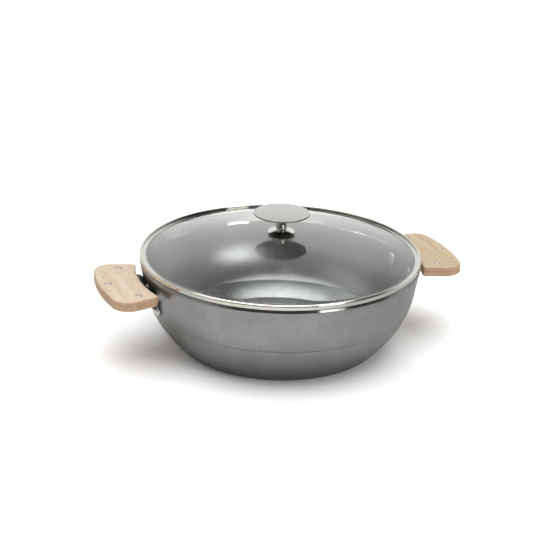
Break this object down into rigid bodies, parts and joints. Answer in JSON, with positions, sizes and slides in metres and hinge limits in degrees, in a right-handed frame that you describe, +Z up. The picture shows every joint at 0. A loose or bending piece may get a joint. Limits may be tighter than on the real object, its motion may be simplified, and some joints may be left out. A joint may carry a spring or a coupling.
{
  "type": "deep two-handled pan with glass lid",
  "caption": "Deep flat-based pan of brushed carbon steel with beech side grips on riveted brackets, and a domed glass lid with a steel band and a disc knob.",
  "frame": {"origin": "centre of the base's underside, on the surface that the pan stands on", "axes": "+Z up along the pan's axis, X through the middle of both grips"},
  "size_m": [0.3736, 0.2824, 0.1392],
  "materials": {
    "carbon_steel": "raw carbon steel, finely brushed, satin",
    "stainless": "polished stainless steel",
    "beech": "sanded beech with a thin wax finish",
    "tempered_glass": "clear polished tempered glass",
    "silicone": "dark moulded silicone"
  },
  "bodies": {
    "pan": {"pan_body": "carbon_steel", "left_handle_bracket": "stainless", "left_grip_upper": "beech", "left_grip_lower": "beech", "left_grip_pin_near": "stainless", "left_grip_pin_middle": "stainless", "left_grip_pin_far": "stainless", "left_wall_rivet_near": "stainless", "left_wall_rivet_far": "stainless", "right_handle_bracket": "stainless", "right_grip_upper": "beech", "right_grip_lower": "beech", "right_grip_pin_near": "stainless", "right_grip_pin_middle": "stainless", "right_grip_pin_far": "stainless", "right_wall_rivet_near": "stainless", "right_wall_rivet_far": "stainless"},
    "lid": {"lid_glass": "tempered_glass", "lid_band": "stainless", "knob_disc": "stainless", "knob_stem": "stainless", "knob_washer": "stainless", "knob_upper_gasket": "silicone", "knob_lower_gasket": "silicone", "knob_lower_washer": "stainless", "knob_screw": "stainless"}
  },
  "joints": [
    {"name": "lid_lift", "type": "slide", "parent": "pan", "child": "lid", "axis": [0, 0, 1], "range_m": [0, 0.08]}
  ]
}
